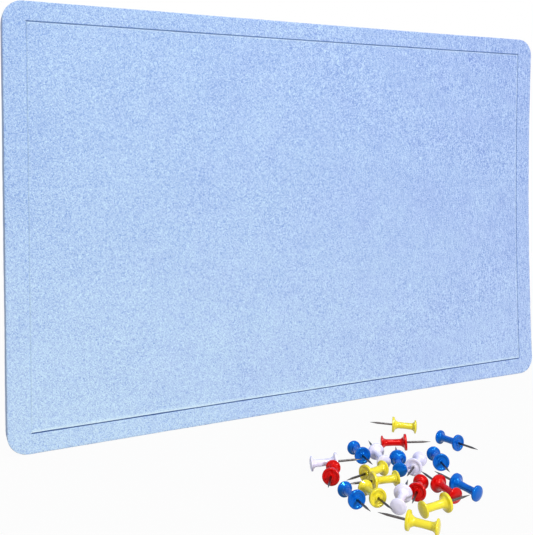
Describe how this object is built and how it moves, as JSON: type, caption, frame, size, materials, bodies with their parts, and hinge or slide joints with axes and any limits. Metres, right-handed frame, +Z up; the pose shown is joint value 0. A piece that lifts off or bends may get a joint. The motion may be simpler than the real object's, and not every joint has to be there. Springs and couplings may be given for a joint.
{
  "type": "felt bulletin board with push pins",
  "caption": "Upright rounded rectangle of pressed felt with a cut border line, wall tape on its back, and loose spool-shaped push pins lying in front.",
  "frame": {"origin": "centre of the outer face of the middle tape strip, on the wall plane behind the board", "axes": "+X to the right as seen from the front, +Y into the wall, +Z up the board"},
  "size_m": [0.3, 0.1456, 0.2],
  "materials": {
    "felt": "heathered light blue pressed felt",
    "foam_tape": "white foam tape",
    "plastic_yellow": "glossy",
    "plastic_blue": "glossy",
    "plastic_red": "glossy",
    "plastic_white": "glossy",
    "needle_steel": "drawn bright wire"
  },
  "bodies": {
    "board": {"felt_panel": "felt", "tape_strip_centre": "foam_tape", "tape_strip_upper_left": "foam_tape", "tape_strip_upper_right": "foam_tape", "tape_strip_lower_left": "foam_tape", "tape_strip_lower_right": "foam_tape"},
    "yellow_pin_1": {"yellow_pin_1_head": "plastic_yellow", "yellow_pin_1_needle": "needle_steel"},
    "yellow_pin_2": {"yellow_pin_2_head": "plastic_yellow", "yellow_pin_2_needle": "needle_steel"},
    "yellow_pin_3": {"yellow_pin_3_head": "plastic_yellow", "yellow_pin_3_needle": "needle_steel"},
    "yellow_pin_4": {"yellow_pin_4_head": "plastic_yellow", "yellow_pin_4_needle": "needle_steel"},
    "yellow_pin_5": {"yellow_pin_5_head": "plastic_yellow", "yellow_pin_5_needle": "needle_steel"},
    "yellow_pin_6": {"yellow_pin_6_head": "plastic_yellow", "yellow_pin_6_needle": "needle_steel"},
    "blue_pin_1": {"blue_pin_1_head": "plastic_blue", "blue_pin_1_needle": "needle_steel"},
    "blue_pin_2": {"blue_pin_2_head": "plastic_blue", "blue_pin_2_needle": "needle_steel"},
    "blue_pin_3": {"blue_pin_3_head": "plastic_blue", "blue_pin_3_needle": "needle_steel"},
    "blue_pin_4": {"blue_pin_4_head": "plastic_blue", "blue_pin_4_needle": "needle_steel"},
    "blue_pin_5": {"blue_pin_5_head": "plastic_blue", "blue_pin_5_needle": "needle_steel"},
    "blue_pin_6": {"blue_pin_6_head": "plastic_blue", "blue_pin_6_needle": "needle_steel"},
    "red_pin_1": {"red_pin_1_head": "plastic_red", "red_pin_1_needle": "needle_steel"},
    "red_pin_2": {"red_pin_2_head": "plastic_red", "red_pin_2_needle": "needle_steel"},
    "red_pin_3": {"red_pin_3_head": "plastic_red", "red_pin_3_needle": "needle_steel"},
    "red_pin_4": {"red_pin_4_head": "plastic_red", "red_pin_4_needle": "needle_steel"},
    "white_pin_1": {"white_pin_1_head": "plastic_white", "white_pin_1_needle": "needle_steel"},
    "white_pin_2": {"white_pin_2_head": "plastic_white", "white_pin_2_needle": "needle_steel"},
    "white_pin_3": {"white_pin_3_head": "plastic_white", "white_pin_3_needle": "needle_steel"},
    "white_pin_4": {"white_pin_4_head": "plastic_white", "white_pin_4_needle": "needle_steel"}
  },
  "joints": [
    {"name": "yellow_pin_1_lift", "type": "slide", "parent": "board", "child": "yellow_pin_1", "axis": [0, 0, 1], "range_m": [0, 0.03]},
    {"name": "yellow_pin_2_lift", "type": "slide", "parent": "board", "child": "yellow_pin_2", "axis": [0, 0, 1], "range_m": [0, 0.03]},
    {"name": "yellow_pin_3_lift", "type": "slide", "parent": "board", "child": "yellow_pin_3", "axis": [0, 0, 1], "range_m": [0, 0.03]},
    {"name": "yellow_pin_4_lift", "type": "slide", "parent": "board", "child": "yellow_pin_4", "axis": [0, 0, 1], "range_m": [0, 0.03]},
    {"name": "yellow_pin_5_lift", "type": "slide", "parent": "board", "child": "yellow_pin_5", "axis": [0, 0, 1], "range_m": [0, 0.03]},
    {"name": "yellow_pin_6_lift", "type": "slide", "parent": "board", "child": "yellow_pin_6", "axis": [0, 0, 1], "range_m": [0, 0.03]},
    {"name": "blue_pin_1_lift", "type": "slide", "parent": "board", "child": "blue_pin_1", "axis": [0, 0, 1], "range_m": [0, 0.03]},
    {"name": "blue_pin_2_lift", "type": "slide", "parent": "board", "child": "blue_pin_2", "axis": [0, 0, 1], "range_m": [0, 0.03]},
    {"name": "blue_pin_3_lift", "type": "slide", "parent": "board", "child": "blue_pin_3", "axis": [0, 0, 1], "range_m": [0, 0.03]},
    {"name": "blue_pin_4_lift", "type": "slide", "parent": "board", "child": "blue_pin_4", "axis": [0, 0, 1], "range_m": [0, 0.03]},
    {"name": "blue_pin_5_lift", "type": "slide", "parent": "board", "child": "blue_pin_5", "axis": [0, 0, 1], "range_m": [0, 0.03]},
    {"name": "blue_pin_6_lift", "type": "slide", "parent": "board", "child": "blue_pin_6", "axis": [0, 0, 1], "range_m": [0, 0.03]},
    {"name": "red_pin_1_lift", "type": "slide", "parent": "board", "child": "red_pin_1", "axis": [0, 0, 1], "range_m": [0, 0.03]},
    {"name": "red_pin_2_lift", "type": "slide", "parent": "board", "child": "red_pin_2", "axis": [0, 0, 1], "range_m": [0, 0.03]},
    {"name": "red_pin_3_lift", "type": "slide", "parent": "board", "child": "red_pin_3", "axis": [0, 0, 1], "range_m": [0, 0.03]},
    {"name": "red_pin_4_lift", "type": "slide", "parent": "board", "child": "red_pin_4", "axis": [0, 0, 1], "range_m": [0, 0.03]},
    {"name": "white_pin_1_lift", "type": "slide", "parent": "board", "child": "white_pin_1", "axis": [0, 0, 1], "range_m": [0, 0.03]},
    {"name": "white_pin_2_lift", "type": "slide", "parent": "board", "child": "white_pin_2", "axis": [0, 0, 1], "range_m": [0, 0.03]},
    {"name": "white_pin_3_lift", "type": "slide", "parent": "board", "child": "white_pin_3", "axis": [0, 0, 1], "range_m": [0, 0.03]},
    {"name": "white_pin_4_lift", "type": "slide", "parent": "board", "child": "white_pin_4", "axis": [0, 0, 1], "range_m": [0, 0.03]}
  ]
}
